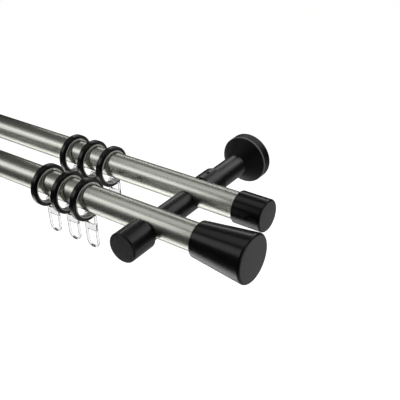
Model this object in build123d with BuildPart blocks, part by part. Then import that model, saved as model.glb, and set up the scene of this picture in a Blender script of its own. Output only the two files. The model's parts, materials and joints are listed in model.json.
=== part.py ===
from build123d import *
import os

os.makedirs("parts", exist_ok=True)

# Double curtain pole, millimetres. The wall is the plane y = 0 and the room is on the side of
# negative y, x runs along the poles, z is up and z = 0 is the height of the bracket arms.
# Lengths called "out" are distances from the wall.

# Poles
pole_length = 1000.0
pole_radius = 10.0
pole_wall = 1.0
pole_rise = 4.0
rear_pole_out = 75.4
pole_spacing = 47.5
pole_overhang = 39.0

# Fits, each on the radius
slide_fit = 0.05
cover_fit = 0.1

# Finials: head outside the pole and a spigot inside it
spigot_length = 18.0
spigot_chamfer = 0.6
cone_small_radius = 12.7
cone_large_radius = 17.3
cone_length = 40.8
cone_rim_round = 1.6
cone_neck_round = 0.5
end_cap_radius = 11.85
end_cap_length = 22.95
end_cap_round = 1.3
end_cap_neck_round = 0.4

# Bracket arm: a round rod with two open notches for the poles and a wider sleeve behind them
rod_radius = 8.75
notch_height = 30.0
sleeve_wall = 2.0
sleeve_length = 16.4
sleeve_bore_depth = 14.0
sleeve_round = 0.6

# Cap on the front end of the arm
arm_cap_radius = 11.0
arm_cap_length = 21.2
arm_cap_floor = 4.0
arm_cap_round = 1.0
arm_cap_back_round = 0.6
arm_cap_gap = 0.5
rod_end_gap = 0.3

# Wall tube
tube_radius = 8.75
tube_wall = 2.0
tube_end_gap = 0.3

# Grub screw that clamps the wall tube in the sleeve
grub_radius = 2.0
grub_length = 3.0
grub_socket_flats = 2.0
grub_socket_depth = 1.3
grub_tip_chamfer = 0.4
grub_sink = 0.15
pocket_gap = 0.1

# Base plate on the wall
plate_radius = 17.5
plate_thickness = 2.5
plate_chamfer = 0.4
plate_spigot_length = 12.0
screw_hole_radius = 2.25
screw_head_radius = 3.8
screw_hole_offset = 13.0

# Conical cover over the base plate
cover_radius = 19.1
cover_rim_depth = 7.6
cover_nose_out = 19.3
cover_wall = 1.2
cover_inner_rim_depth = 7.1
cover_round = 0.8

# Rings: a flat black band with a plastic liner clipped into it
band_outer_radius = 16.4
band_inner_radius = 13.75
band_width = 4.0
band_chamfer = 0.4
liner_inner_radius = 12.8
liner_flange_radius = 14.3
liner_flange_width = 0.4
ring_hang_gap = 0.05
front_ring_places = (-61.0, -80.0, -100.7)
rear_ring_places = (-80.0, -100.0, -119.5)

# Hangers: one flat moulded piece, with a window for the ring above and a loop for the curtain below
hanger_width = 12.0
hanger_thickness = 1.8
hanger_strand = 1.7
hanger_height = 30.2
hanger_bar_gap = 0.14
hanger_shift = 0.9
window_height = 7.1
web_height = 5.9
top_corner_round = 2.2
window_corner_round = 0.9
hanger_edge_round = 0.45

front_pole_out = rear_pole_out + pole_spacing
bracket_x = pole_length / 2 - pole_overhang
pole_inner_radius = pole_radius - pole_wall
spigot_radius = pole_inner_radius - slide_fit
sleeve_radius = tube_radius + sleeve_wall
notch_radius = pole_radius + slide_fit
sleeve_front_out = rear_pole_out - notch_radius
sleeve_back_out = sleeve_front_out - sleeve_length
grub_out = sleeve_back_out + sleeve_length / 2
tube_inner_radius = tube_radius - tube_wall
cap_back_out = front_pole_out + notch_radius + arm_cap_gap
rod_end_out = cap_back_out + arm_cap_length - arm_cap_floor - rod_end_gap
ring_centre_drop = liner_inner_radius - pole_radius - ring_hang_gap


def place(piece, name, x=0.0, y=0.0, z=0.0, turn=0.0):
    copy = piece.moved(Location((x, y, z), (0, 0, turn)))
    copy.label = name
    export_step(copy, f"parts/{name}.step")


# Pole tube, open at both ends
with BuildPart() as pole:
    with BuildSketch(Plane.YZ.offset(-pole_length / 2)):
        Circle(pole_radius)
        Circle(pole_inner_radius, mode=Mode.SUBTRACT)
    extrude(amount=pole_length)

place(pole.part, "front_pole", y=-front_pole_out, z=pole_rise)
place(pole.part, "rear_pole", y=-rear_pole_out, z=pole_rise)

# Cone finial, its neck at x = 0 and its large face outwards
with BuildPart() as cone:
    with BuildSketch(Plane.XZ):
        with BuildLine():
            Polyline(
                (-spigot_length, 0),
                (-spigot_length, spigot_radius - spigot_chamfer),
                (-spigot_length + spigot_chamfer, spigot_radius),
                (0, spigot_radius),
                (0, cone_small_radius),
                (cone_length, cone_large_radius),
                (cone_length, 0),
                close=True,
            )
        make_face()
    revolve(axis=Axis.X)
    fillet(cone.edges().filter_by(GeomType.CIRCLE).sort_by(Axis.X)[-1], radius=cone_rim_round)
    neck = cone.edges().filter_by(GeomType.CIRCLE).filter_by_position(Axis.X, -0.01, 0.01)
    fillet(neck.sort_by(SortBy.RADIUS)[-1], radius=cone_neck_round)

place(cone.part, "right_cone_finial", pole_length / 2, -front_pole_out, pole_rise)
place(cone.part, "left_cone_finial", -pole_length / 2, -front_pole_out, pole_rise, 180)

# Plain end cap of the rear pole
with BuildPart() as end_cap:
    with BuildSketch(Plane.XZ):
        with BuildLine():
            Polyline(
                (-spigot_length, 0),
                (-spigot_length, spigot_radius - spigot_chamfer),
                (-spigot_length + spigot_chamfer, spigot_radius),
                (0, spigot_radius),
                (0, end_cap_radius),
                (end_cap_length, end_cap_radius),
                (end_cap_length, 0),
                close=True,
            )
        make_face()
    revolve(axis=Axis.X)
    fillet(end_cap.edges().filter_by(GeomType.CIRCLE).sort_by(Axis.X)[-1], radius=end_cap_round)
    neck = end_cap.edges().filter_by(GeomType.CIRCLE).filter_by_position(Axis.X, -0.01, 0.01)
    fillet(neck.sort_by(SortBy.RADIUS)[-1], radius=end_cap_neck_round)

place(end_cap.part, "right_end_cap", pole_length / 2, -rear_pole_out, pole_rise)
place(end_cap.part, "left_end_cap", -pole_length / 2, -rear_pole_out, pole_rise, 180)

# Bracket arm: rod in front, sleeve behind, both notches open at the top
with BuildPart() as arm:
    with BuildSketch(Plane.XZ.offset(sleeve_back_out)):
        Circle(sleeve_radius)
    extrude(amount=sleeve_length)
    fillet(arm.edges().sort_by(Axis.Y)[-1], radius=sleeve_round)
    with BuildSketch(Plane.XZ.offset(sleeve_front_out)):
        Circle(rod_radius)
    extrude(amount=rod_end_out - sleeve_front_out)
    for out in (rear_pole_out, front_pole_out):
        with BuildSketch(Plane.YZ):
            with Locations((-out, pole_rise)):
                Circle(notch_radius)
            with Locations((-out, pole_rise + notch_height / 2)):
                Rectangle(2 * notch_radius, notch_height)
        extrude(amount=2 * sleeve_radius, both=True, mode=Mode.SUBTRACT)
    with BuildSketch(Plane.XZ.offset(sleeve_back_out)):
        Circle(tube_radius + slide_fit)
    extrude(amount=sleeve_bore_depth, mode=Mode.SUBTRACT)
    with BuildSketch(Plane.XY):
        with Locations((0, -grub_out)):
            Circle(grub_radius + slide_fit)
    extrude(amount=sleeve_radius + 1, mode=Mode.SUBTRACT)

# Cap with a blind bore over the front end of the rod
with BuildPart() as arm_cap:
    with BuildSketch(Plane.XZ.offset(cap_back_out)):
        Circle(arm_cap_radius)
    extrude(amount=arm_cap_length)
    fillet(arm_cap.edges().sort_by(Axis.Y)[0], radius=arm_cap_round)
    fillet(arm_cap.edges().sort_by(Axis.Y)[-1], radius=arm_cap_back_round)
    with BuildSketch(Plane.XZ.offset(cap_back_out)):
        Circle(rod_radius + slide_fit)
    extrude(amount=arm_cap_length - arm_cap_floor, mode=Mode.SUBTRACT)

# Wall tube with a spot drilled pocket for the grub screw
with BuildPart() as wall_tube:
    with BuildSketch(Plane.XZ.offset(plate_thickness)):
        Circle(tube_radius)
        Circle(tube_inner_radius, mode=Mode.SUBTRACT)
    extrude(amount=sleeve_back_out + sleeve_bore_depth - tube_end_gap - plate_thickness)
    with BuildSketch(Plane.XY.offset(sleeve_radius - grub_sink - grub_length - slide_fit)):
        with Locations((0, -grub_out)):
            Circle(grub_radius + pocket_gap)
    extrude(amount=grub_length, mode=Mode.SUBTRACT)

# Grub screw with a hexagon socket
with BuildPart() as grub_screw:
    with BuildSketch(Plane.XY.offset(sleeve_radius - grub_sink - grub_length)):
        with Locations((0, -grub_out)):
            Circle(grub_radius)
    extrude(amount=grub_length)
    chamfer(grub_screw.edges().sort_by(Axis.Z)[0], length=grub_tip_chamfer)
    with BuildSketch(Plane.XY.offset(sleeve_radius - grub_sink)):
        with Locations((0, -grub_out)):
            RegularPolygon(grub_socket_flats / 2, 6, major_radius=False)
    extrude(amount=-grub_socket_depth, mode=Mode.SUBTRACT)

# Base plate with two countersunk screw holes and a spigot for the wall tube
with BuildPart() as base_plate:
    with BuildSketch(Plane.XZ):
        Circle(plate_radius)
    extrude(amount=plate_thickness)
    chamfer(base_plate.edges().sort_by(Axis.Y)[0], length=plate_chamfer)
    with BuildSketch(Plane.XZ.offset(plate_thickness)):
        Circle(tube_inner_radius - slide_fit)
    extrude(amount=plate_spigot_length)
    with Locations(Plane.XZ.offset(plate_thickness)):
        with Locations((0, screw_hole_offset), (0, -screw_hole_offset)):
            CounterSinkHole(screw_hole_radius, screw_head_radius)

# Conical cover, hollow and open towards the wall
cone_slope = (cover_nose_out - cover_rim_depth) / (cover_radius - tube_radius - cover_fit)
cover_hole_radius = tube_radius + cover_fit
cover_inner_radius = cover_radius - cover_wall
cover_inner_nose = cover_inner_rim_depth + cone_slope * (cover_inner_radius - cover_hole_radius)
with BuildPart() as cover:
    with BuildSketch(Plane.YZ):
        with BuildLine():
            Polyline(
                (-cover_nose_out, cover_hole_radius),
                (-cover_rim_depth, cover_radius),
                (0, cover_radius),
                (0, cover_inner_radius),
                (-cover_inner_rim_depth, cover_inner_radius),
                (-cover_inner_nose, cover_hole_radius),
                close=True,
            )
        make_face()
    revolve(axis=Axis.Y)
    rim = cover.edges().filter_by(GeomType.CIRCLE).sort_by(SortBy.RADIUS)[-2:]
    fillet(rim.sort_by(Axis.Y)[0], radius=cover_round)

for side, x in (("right", bracket_x), ("left", -bracket_x)):
    place(arm.part, f"{side}_arm", x)
    place(arm_cap.part, f"{side}_arm_cap", x)
    place(wall_tube.part, f"{side}_wall_tube", x)
    place(grub_screw.part, f"{side}_grub_screw", x)
    place(base_plate.part, f"{side}_base_plate", x)
    place(cover.part, f"{side}_wall_cover", x)

# Ring band, its centre at the origin
with BuildPart() as band:
    with BuildSketch(Plane.YZ.offset(-band_width / 2)):
        Circle(band_outer_radius)
        Circle(band_inner_radius, mode=Mode.SUBTRACT)
    extrude(amount=band_width)
    chamfer(band.edges().filter_by(GeomType.CIRCLE).sort_by(SortBy.RADIUS)[-2:], length=band_chamfer)

# Liner: a thin sleeve inside the band with a narrow flange on each face of the band
with BuildPart() as liner:
    with BuildSketch(Plane.YZ.offset(-band_width / 2 - liner_flange_width)):
        Circle(liner_flange_radius)
        Circle(liner_inner_radius, mode=Mode.SUBTRACT)
    extrude(amount=band_width + 2 * liner_flange_width)
    with BuildSketch(Plane.YZ.offset(-band_width / 2)):
        Circle(liner_flange_radius)
        Circle(band_inner_radius, mode=Mode.SUBTRACT)
    extrude(amount=band_width, mode=Mode.SUBTRACT)

# Hanger, drawn from the centre of its ring, its top bar just under the inner face of the liner
window_top = -liner_inner_radius + hanger_bar_gap
hanger_top = window_top + hanger_strand
hanger_bottom = hanger_top - hanger_height
window_width = hanger_width - 2 * hanger_strand
loop_top = window_top - window_height - web_height
bend_height = hanger_bottom + hanger_width / 2
with BuildPart() as hanger:
    with BuildSketch(Plane.XZ.offset(-hanger_thickness / 2)):
        with BuildLine():
            Polyline(
                (-hanger_width / 2, bend_height),
                (-hanger_width / 2, hanger_top),
                (hanger_width / 2, hanger_top),
                (hanger_width / 2, bend_height),
            )
            CenterArc((0, bend_height), hanger_width / 2, 180, 180)
        outline = make_face()
        fillet(outline.vertices().group_by(Axis.Y)[-1], radius=top_corner_round)
        with Locations((0, window_top - window_height / 2)):
            RectangleRounded(window_width, window_height, window_corner_round, mode=Mode.SUBTRACT)
        with BuildLine():
            Polyline(
                (-window_width / 2, bend_height),
                (-window_width / 2, loop_top),
                (window_width / 2, loop_top),
                (window_width / 2, bend_height),
            )
            CenterArc((0, bend_height), window_width / 2, 180, 180)
        make_face(mode=Mode.SUBTRACT)
    extrude(amount=hanger_thickness)
    faces = hanger.faces().filter_by(Axis.Y)
    fillet(faces.edges(), radius=hanger_edge_round)

ring_z = pole_rise - ring_centre_drop
for row, out, places in (
    ("front", front_pole_out, front_ring_places),
    ("rear", rear_pole_out, rear_ring_places),
):
    for number, x in enumerate(places, start=1):
        place(band.part, f"{row}_ring_{number}", bracket_x + x, -out, ring_z)
        place(liner.part, f"{row}_liner_{number}", bracket_x + x, -out, ring_z)
        place(hanger.part, f"{row}_hanger_{number}", bracket_x + x + hanger_shift, -out, ring_z)
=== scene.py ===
import json
import math

import bpy
import numpy as np
from mathutils import Matrix

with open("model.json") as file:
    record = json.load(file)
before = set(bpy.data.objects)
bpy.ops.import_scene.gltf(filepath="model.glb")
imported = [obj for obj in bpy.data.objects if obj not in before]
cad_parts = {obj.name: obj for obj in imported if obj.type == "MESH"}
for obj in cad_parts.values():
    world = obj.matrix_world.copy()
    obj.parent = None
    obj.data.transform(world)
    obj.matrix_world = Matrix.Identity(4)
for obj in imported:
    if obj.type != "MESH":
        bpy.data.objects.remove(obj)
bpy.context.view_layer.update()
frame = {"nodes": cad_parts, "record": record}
nodes = frame["nodes"]
scene = bpy.context.scene
MM = 0.001

# Camera, fitted to the edges in the photograph. It looks from the room, from the right and from
# above. Its place is in metres, its turns are in degrees, and its lens and sensor in mm.
CAMERA_PLACE = (0.710565, -0.405966, 0.244714)
CAMERA_AZIMUTH = 36.4648
CAMERA_ELEVATION = 30.9375
CAMERA_ROLL = -1.8381
CAMERA_LENS = 59.615
CAMERA_SENSOR = 36.0

# Places on the part that its materials need, in mm: out from the wall, across from the middle,
# and up from the axes of the bracket arms
FRONT_RINGS_OUT = 122.9
REAR_RINGS_OUT = 75.4
RINGS_UP = 1.25
LINER_PALE_RADIUS = 13.6
HANGER_BOTTOM_UP = -39.9
BRACKETS_ACROSS = 461.0
COVER_RIM_OUT = 7.6
COVER_RADIUS = 19.1

# Sizes of the patterns, in mm. Clouds are slow changes of gloss over a surface.
BRUSH_LINE_GAP = 1.25
BRUSH_LINE_LENGTH = 166.67
STEEL_CLOUD = 71.43
COAT_CLOUD = 16.667
ACETAL_CLOUD = 2.5
FLOW_MARK = 1.5385
ZINC_SPANGLE = 2.0

# The floor, in metres: it reaches to both sides, from just in front of the part to far behind
FLOOR_UP = -0.6
FLOOR_FRONT = -0.66
FLOOR_REACH = 6.0
# How bright the floor shows behind the part and in its metal, where 1 is white
FLOOR_SEEN = 0.92
FLOOR_MIRRORED = 0.05

# Lamps: name, place, the point that it faces, width, depth, all in metres, and its brightness.
# The first four stand overhead and draw the bands on the tubes. The floor lamps hang low and
# face the floor, which the undersides mirror. The end lamps keep the tubes bright from their ends.
LAMPS = (
    ("front_lamp", (-0.52, -0.70, 0.585), (0.1, -0.1, 0.0), 0.95, 0.55, 1.45),
    ("top_lamp", (0.37, -0.08, 0.75), (0.37, -0.1, 0.0), 1.2, 0.45, 0.76),
    ("back_lamp", (0.1, 0.75, 0.48), (0.1, -0.1, 0.0), 1.5, 0.22, 2.2),
    ("side_lamp", (0.85, 0.67, 0.68), (0.46, -0.1, 0.0), 0.9, 0.45, 1.2),
    ("floor_lamp", (-0.25, -0.27, -0.42), (-0.25, -0.27, -0.6), 1.1, 0.4, 4.0),
    ("right_floor_lamp", (1.1, 0.68, -0.42), (1.1, 0.68, -0.6), 0.6, 0.6, 0.6),
    ("left_end_lamp", (-2.4, -0.1, 0.2), (0.0, -0.1, 0.0), 1.1, 1.1, 0.6),
    ("right_end_lamp", (2.4, 0.0, 0.2), (0.0, -0.1, 0.0), 1.4, 1.4, 1.0),
)


def linear(colour):
    """An sRGB hex colour such as "#7f7f7f" as a linear RGBA tuple, by the sRGB standard's curve."""
    parts = [int(colour[i : i + 2], 16) / 255 for i in (1, 3, 5)]
    light = [c / 12.92 if c <= 0.04045 else ((c + 0.055) / 1.055) ** 2.4 for c in parts]
    return (*light, 1.0)


def scale_for(size):
    """The scale of a pattern whose lines, bumps or clouds are size mm apart."""
    return 1 / (size * MM)


def add(tree, kind, inputs=None, **settings):
    """Adds a shader node. Settings go to its properties, or else to its sockets by name, with _
    for a space. Inputs maps a socket's name or number to its value, or to the output that feeds
    it."""
    node = tree.nodes.new(kind)
    for name, value in settings.items():
        if hasattr(node, name):
            setattr(node, name, value)
        else:
            node.inputs[name.replace("_", " ")].default_value = value
    for name, value in (inputs or {}).items():
        if isinstance(value, bpy.types.NodeSocket):
            tree.links.new(value, node.inputs[name])
        else:
            node.inputs[name].default_value = value
    return node


def new_material(name):
    """An empty material, its node tree, and the object's own coordinates in metres."""
    material = bpy.data.materials.new(name)
    material.use_nodes = True
    tree = material.node_tree
    tree.nodes.clear()
    place = add(tree, "ShaderNodeTexCoord").outputs["Object"]
    return material, tree, place


def brushed_stainless():
    """Stainless tube, ground lengthwise with a belt. The fine lines along it spread reflections
    round the tube and leave them sharp along it, and the tint keeps its grazing edges dark. Real
    lines are about 0.1 mm apart, drawn BRUSH_LINE_GAP apart to show."""
    material, tree, place = new_material("brushed_stainless")
    scales = [scale_for(size) for size in (BRUSH_LINE_LENGTH, BRUSH_LINE_GAP, BRUSH_LINE_GAP)]
    stretched = add(tree, "ShaderNodeMapping", {"Vector": place}, Scale=scales)
    lines = add(tree, "ShaderNodeTexNoise", {"Vector": stretched.outputs[0]}, Scale=1.0, Detail=1.0)
    cloud = add(
        tree, "ShaderNodeTexNoise", {"Vector": place}, Scale=scale_for(STEEL_CLOUD), Detail=2.0
    )
    tone = add(
        tree,
        "ShaderNodeMix",
        {0: lines.outputs[0], 6: linear("#b6b7af"), 7: linear("#d8d9d1")},
        data_type="RGBA",
    )
    gloss = add(tree, "ShaderNodeMapRange", {"Value": cloud.outputs[0]}, To_Min=0.24, To_Max=0.28)
    relief = add(
        tree, "ShaderNodeBump", {"Height": lines.outputs[0]}, Strength=0.03, Distance=0.05 * MM
    )
    metal = add(
        tree,
        "ShaderNodeBsdfPrincipled",
        {
            "Base Color": tone.outputs[2],
            "Roughness": gloss.outputs[0],
            "Normal": relief.outputs[0],
            "Tangent": add(tree, "ShaderNodeTangent", direction_type="RADIAL", axis="X").outputs[0],
        },
        Metallic=1.0,
        Anisotropic=0.8,
        Specular_Tint=linear("#909090"),
    )
    add(tree, "ShaderNodeOutputMaterial", {"Surface": metal.outputs[0]})
    return material


def add_black_coat(tree, place, colour, roughness, ior, grain):
    """A black finish on metal: nearly black, with a broad soft sheen that varies a little from
    place to place, and the slight orange peel of a sprayed and baked coat, its bumps grain mm
    across. The colour is linear, or the output that gives it."""
    peel = add(tree, "ShaderNodeTexNoise", {"Vector": place}, Scale=scale_for(grain), Detail=2.0)
    cloud = add(
        tree, "ShaderNodeTexNoise", {"Vector": place}, Scale=scale_for(COAT_CLOUD), Detail=2.0
    )
    gloss = add(
        tree,
        "ShaderNodeMapRange",
        {"Value": cloud.outputs[0]},
        To_Min=roughness - 0.03,
        To_Max=roughness + 0.03,
    )
    relief = add(
        tree, "ShaderNodeBump", {"Height": peel.outputs[0]}, Strength=0.12, Distance=0.03 * MM
    )
    coat = add(
        tree,
        "ShaderNodeBsdfPrincipled",
        {"Base Color": colour, "Roughness": gloss.outputs[0], "Normal": relief.outputs[0]},
        IOR=ior,
    )
    add(tree, "ShaderNodeOutputMaterial", {"Surface": coat.outputs[0]})


def satin_black(name, colour, roughness, ior, grain):
    """A black finish of one colour all over."""
    material, tree, place = new_material(name)
    add_black_coat(tree, place, linear(colour), roughness, ior, grain)
    return material


def matt_black_powder_coat():
    """Matt black powder coat of the wall covers, with a painted highlight: grey painted along the
    edge
    between the rim and the cone, which draws a light line there. Both covers are folded onto one:
    the distance from that edge is taken in the plane of out from the wall and radius about the arm."""
    material, tree, place = new_material("matt_black_powder_coat")
    one_side = add(tree, "ShaderNodeVectorMath", {0: place}, operation="ABSOLUTE").outputs[0]
    out = add(tree, "ShaderNodeSeparateXYZ", {"Vector": one_side}).outputs["Y"]
    flat = add(tree, "ShaderNodeMapping", {"Vector": one_side}, Scale=(1.0, 0.0, 1.0))
    radius = add(
        tree,
        "ShaderNodeVectorMath",
        {0: flat.outputs[0], 1: (BRACKETS_ACROSS * MM, 0.0, 0.0)},
        operation="DISTANCE",
    )
    section = add(tree, "ShaderNodeCombineXYZ", {"X": out, "Y": radius.outputs["Value"]})
    from_edge = add(
        tree,
        "ShaderNodeVectorMath",
        {0: section.outputs[0], 1: (COVER_RIM_OUT * MM, COVER_RADIUS * MM, 0.0)},
        operation="DISTANCE",
    )
    # painted highlight: the light grey line along the edge between the cover's rim and its cone
    painted_highlight = add(
        tree,
        "ShaderNodeMapRange",
        {"Value": from_edge.outputs["Value"]},
        From_Min=1.0 * MM,
        From_Max=0.4 * MM,
    )
    tone = add(
        tree,
        "ShaderNodeMix",
        {0: painted_highlight.outputs[0], 6: linear("#050506"), 7: linear("#848484")},
        data_type="RGBA",
    )
    add_black_coat(tree, place, tone.outputs[2], roughness=0.42, ior=1.3, grain=0.5)
    return material


def moulded_grey_acetal():
    """Acetal liner, moulded: light grey and a little waxy. Its faces that face along the rings'
    axis are painted lighter than its bore and its other faces, a painted light. The band's black
    enamel laps over the outer part of its flanges, so that a narrow pale line shows inside the
    band. Both rows of rings are folded onto one to find the radius about the rings' axis."""
    material, tree, place = new_material("moulded_grey_acetal")
    cloud = add(
        tree, "ShaderNodeTexNoise", {"Vector": place}, Scale=scale_for(ACETAL_CLOUD), Detail=2.0
    )
    gloss = add(tree, "ShaderNodeMapRange", {"Value": cloud.outputs[0]}, To_Min=0.28, To_Max=0.38)
    facing = add(tree, "ShaderNodeTexCoord").outputs["Normal"]
    facing_along = add(tree, "ShaderNodeSeparateXYZ", {"Vector": facing}).outputs["X"]
    # painted light: faces along the axis get the lighter grey, the bore and the rest the darker
    # grey
    painted_light_end_face = add(tree, "ShaderNodeMath", {0: facing_along}, operation="ABSOLUTE")
    painted_light_tone = add(
        tree,
        "ShaderNodeMix",
        {0: painted_light_end_face.outputs[0], 6: linear("#b4b4ae"), 7: linear("#f6f6f0")},
        data_type="RGBA",
    )
    between_rows = (0.0, (FRONT_RINGS_OUT + REAR_RINGS_OUT) / 2 * MM, -RINGS_UP * MM)
    section = add(
        tree, "ShaderNodeMapping", {"Vector": place}, Location=between_rows, Scale=(0.0, 1.0, 1.0)
    )
    one_row = add(tree, "ShaderNodeVectorMath", {0: section.outputs[0]}, operation="ABSOLUTE")
    row_axis = (0.0, (FRONT_RINGS_OUT - REAR_RINGS_OUT) / 2 * MM, 0.0)
    radius = add(
        tree, "ShaderNodeVectorMath", {0: one_row.outputs[0], 1: row_axis}, operation="DISTANCE"
    )
    lapped = add(
        tree,
        "ShaderNodeMath",
        {0: radius.outputs["Value"], 1: LINER_PALE_RADIUS * MM},
        operation="GREATER_THAN",
    )
    tone = add(
        tree,
        "ShaderNodeMix",
        {0: lapped.outputs[0], 6: painted_light_tone.outputs[2], 7: linear("#080809")},
        data_type="RGBA",
    )
    plastic = add(
        tree,
        "ShaderNodeBsdfPrincipled",
        {"Base Color": tone.outputs[2], "Roughness": gloss.outputs[0]},
    )
    add(tree, "ShaderNodeOutputMaterial", {"Surface": plastic.outputs[0]})
    return material


def clear_polycarbonate():
    """Clear polycarbonate, moulded: colourless, with faint flow marks. The round lower end of a
    loop is painted dark grey, a painted reflection of the dark room."""
    material, tree, place = new_material("clear_polycarbonate")
    flow = add(
        tree, "ShaderNodeTexNoise", {"Vector": place}, Scale=scale_for(FLOW_MARK), Detail=1.0
    )
    relief = add(
        tree, "ShaderNodeBump", {"Height": flow.outputs[0]}, Strength=0.1, Distance=0.05 * MM
    )
    up = add(tree, "ShaderNodeSeparateXYZ", {"Vector": place}).outputs["Z"]
    # painted reflection: the bottom of each loop, below about 1 mm up, is painted dark grey
    painted_reflection_tip = add(
        tree,
        "ShaderNodeMapRange",
        {"Value": up},
        From_Min=(HANGER_BOTTOM_UP + 1.1) * MM,
        From_Max=(HANGER_BOTTOM_UP + 0.7) * MM,
    )
    tone = add(
        tree,
        "ShaderNodeMix",
        {0: painted_reflection_tip.outputs[0], 6: linear("#e8e9e9"), 7: linear("#2a2a2a")},
        data_type="RGBA",
    )
    plastic = add(
        tree,
        "ShaderNodeBsdfPrincipled",
        {"Base Color": tone.outputs[2], "Normal": relief.outputs[0]},
        Roughness=0.03,
        IOR=1.585,
        Transmission_Weight=1.0,
    )
    add(tree, "ShaderNodeOutputMaterial", {"Surface": plastic.outputs[0]})
    return material


def zinc_plated_steel():
    """Bright zinc on a pressed plate: pale bluish metal with a faint spangle."""
    material, tree, place = new_material("zinc_plated_steel")
    spangle = add(
        tree, "ShaderNodeTexVoronoi", {"Vector": place}, Scale=scale_for(ZINC_SPANGLE)
    ).outputs[0]
    tone = add(
        tree,
        "ShaderNodeMix",
        {0: spangle, 6: linear("#c3c7ca"), 7: linear("#d3d6d8")},
        data_type="RGBA",
    )
    gloss = add(tree, "ShaderNodeMapRange", {"Value": spangle}, To_Min=0.26, To_Max=0.4)
    metal = add(
        tree,
        "ShaderNodeBsdfPrincipled",
        {"Base Color": tone.outputs[2], "Roughness": gloss.outputs[0]},
        Metallic=1.0,
    )
    add(tree, "ShaderNodeOutputMaterial", {"Surface": metal.outputs[0]})
    return material


def finish_parts():
    """Gives every CAD node its material, by its slot in the record. The wall covers are duller
    than the rest of the brackets, so they have their own."""
    # Lacquer on turned aluminium: the glossiest of the blacks, with soft long highlights
    lacquer = satin_black("satin_black_lacquer", "#0b0b0d", roughness=0.25, ior=1.4, grain=0.5)
    # Powder coat on steel: a little softer and greyer, with the brightest sheen on the arms
    powder = satin_black("satin_black_powder_coat", "#0c0c0d", roughness=0.28, ior=1.48, grain=0.5)
    # Enamel on the ring bands: the deepest black, nearly smooth
    enamel = satin_black("satin_black_enamel", "#080809", roughness=0.26, ior=1.42, grain=0.4)
    # Oxide on the grub screws: dull and slightly grey
    oxide = satin_black("black_oxide_steel", "#121213", roughness=0.42, ior=1.5, grain=0.3)
    finishes = {
        "pole_steel": brushed_stainless(),
        "finial_black": lacquer,
        "bracket_black": powder,
        "ring_black": enamel,
        "plate_zinc": zinc_plated_steel(),
        "screw_black": oxide,
        "liner_plastic": moulded_grey_acetal(),
        "clear_plastic": clear_polycarbonate(),
    }
    cover_finish = matt_black_powder_coat()
    for part in frame["record"]["subparts"]:
        is_cover = part["node"].endswith("_wall_cover")
        mesh = nodes[part["node"]].data
        mesh.materials.clear()
        mesh.materials.append(cover_finish if is_cover else finishes[part["material_slot"]])


def put(name, data, right, up, back, place):
    """Adds a camera or lamp at place. It looks away from back, with its right and up as given."""
    pose = np.eye(4)
    pose[:3] = np.column_stack((right, up, back, place))
    thing = bpy.data.objects.new(name, data)
    thing.matrix_world = Matrix(pose.tolist())
    scene.collection.objects.link(thing)
    return thing


def aim_camera():
    """Forward is (-sin a cos e, cos a cos e, -sin e) for azimuth a and elevation e, right is
    level, and both right and up are then turned about forward by the roll."""
    a, e, r = (math.radians(v) for v in (CAMERA_AZIMUTH, CAMERA_ELEVATION, CAMERA_ROLL))
    forward = np.array((-math.sin(a) * math.cos(e), math.cos(a) * math.cos(e), -math.sin(e)))
    level = np.array((math.cos(a), math.sin(a), 0.0))
    upright = np.cross(level, forward)
    right = math.cos(r) * level + math.sin(r) * upright
    lens = bpy.data.cameras.new("camera")
    lens.lens = CAMERA_LENS
    lens.sensor_width = CAMERA_SENSOR
    scene.camera = put("camera", lens, right, np.cross(right, forward), -forward, CAMERA_PLACE)


def hang_lamps():
    """Each lamp faces its point, with its width as near to the poles' direction as that allows.
    Its power follows from its brightness and its area."""
    for name, place, faced, width, depth, brightness in LAMPS:
        lamp = bpy.data.lights.new(name, "AREA")
        lamp.shape = "RECTANGLE"
        lamp.size = width
        lamp.size_y = depth
        lamp.energy = brightness * math.pi * width * depth
        back = np.array(place) - np.array(faced)
        back /= np.linalg.norm(back)
        along = np.array((1.0, 0.0, 0.0)) - back * back[0]
        along /= np.linalg.norm(along)
        put(name, lamp, along, np.cross(back, along), back, place)


def shows_backdrop(tree):
    """1 for the camera's own rays and for rays that go straight through clear plastic, 0 for the
    rest. A ray that turned back inside the plastic, so that its Glossy Depth is 1 or more, leaves
    it dark, which draws the plastic's edges."""
    path = add(tree, "ShaderNodeLightPath").outputs
    straight = add(tree, "ShaderNodeMath", {0: path["Glossy Depth"], 1: 0.5}, operation="LESS_THAN")
    through = add(
        tree,
        "ShaderNodeMath",
        {0: path["Is Transmission Ray"], 1: straight.outputs[0]},
        operation="MULTIPLY",
    )
    shown = add(
        tree,
        "ShaderNodeMath",
        {0: path["Is Camera Ray"], 1: through.outputs[0]},
        operation="MAXIMUM",
    )
    return shown.outputs[0]


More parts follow.
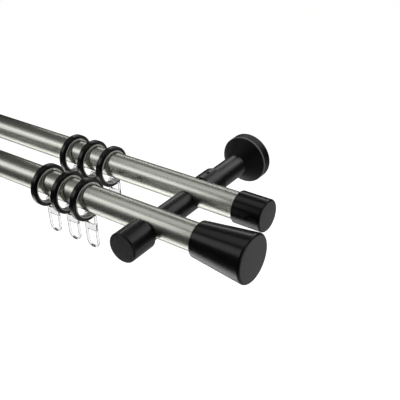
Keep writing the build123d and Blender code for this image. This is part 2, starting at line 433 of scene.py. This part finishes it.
def pale_floor_paint():
    """Plain pale paint that keeps the part's shadow. It shows nearly white behind the part, and
    glows a little in the metal."""
    material, tree, place = new_material("pale_floor_paint")
    mirrored = add(tree, "ShaderNodeLightPath").outputs["Is Glossy Ray"]
    seen = add(tree, "ShaderNodeMapRange", {"Value": shows_backdrop(tree)}, To_Max=FLOOR_SEEN)
    mirrored = add(tree, "ShaderNodeMapRange", {"Value": mirrored}, To_Max=FLOOR_MIRRORED)
    strength = add(
        tree, "ShaderNodeMath", {0: seen.outputs[0], 1: mirrored.outputs[0]}, operation="MAXIMUM"
    )
    paint = add(tree, "ShaderNodeBsdfDiffuse", Color=linear("#e6e6e6"))
    glow = add(tree, "ShaderNodeEmission", {"Strength": strength.outputs[0]})
    both = add(tree, "ShaderNodeAddShader", {0: paint.outputs[0], 1: glow.outputs[0]})
    add(tree, "ShaderNodeOutputMaterial", {"Surface": both.outputs[0]})
    return material


def lay_floor():
    """A flat pale floor, well below the poles."""
    corners = [
        (-FLOOR_REACH, FLOOR_FRONT, FLOOR_UP),
        (FLOOR_REACH, FLOOR_FRONT, FLOOR_UP),
        (FLOOR_REACH, FLOOR_REACH, FLOOR_UP),
        (-FLOOR_REACH, FLOOR_REACH, FLOOR_UP),
    ]
    mesh = bpy.data.meshes.new("floor")
    mesh.from_pydata(corners, [], [(0, 1, 2, 3)])
    mesh.materials.append(pale_floor_paint())
    floor = bpy.data.objects.new("floor", mesh)
    scene.collection.objects.link(floor)


def surround_with_room():
    """A dim grey room, a little lighter towards its ceiling, that shows white behind the part."""
    world = bpy.data.worlds.new("room")
    world.use_nodes = True
    tree = world.node_tree
    direction = add(tree, "ShaderNodeTexCoord").outputs["Generated"]
    upward = add(tree, "ShaderNodeSeparateXYZ", {"Vector": direction}).outputs["Z"]
    walls = add(
        tree,
        "ShaderNodeMix",
        {0: upward, 6: linear("#3a3a39"), 7: linear("#5a5a58")},
        data_type="RGBA",
    )
    backdrop = add(
        tree,
        "ShaderNodeMix",
        {0: shows_backdrop(tree), 6: walls.outputs[2], 7: linear("#ffffff")},
        data_type="RGBA",
    )
    tree.links.new(backdrop.outputs[2], tree.nodes["Background"].inputs["Color"])
    scene.world = world


finish_parts()
aim_camera()
lay_floor()
surround_with_room()
hang_lamps()
scene.view_settings.view_transform = "Standard"
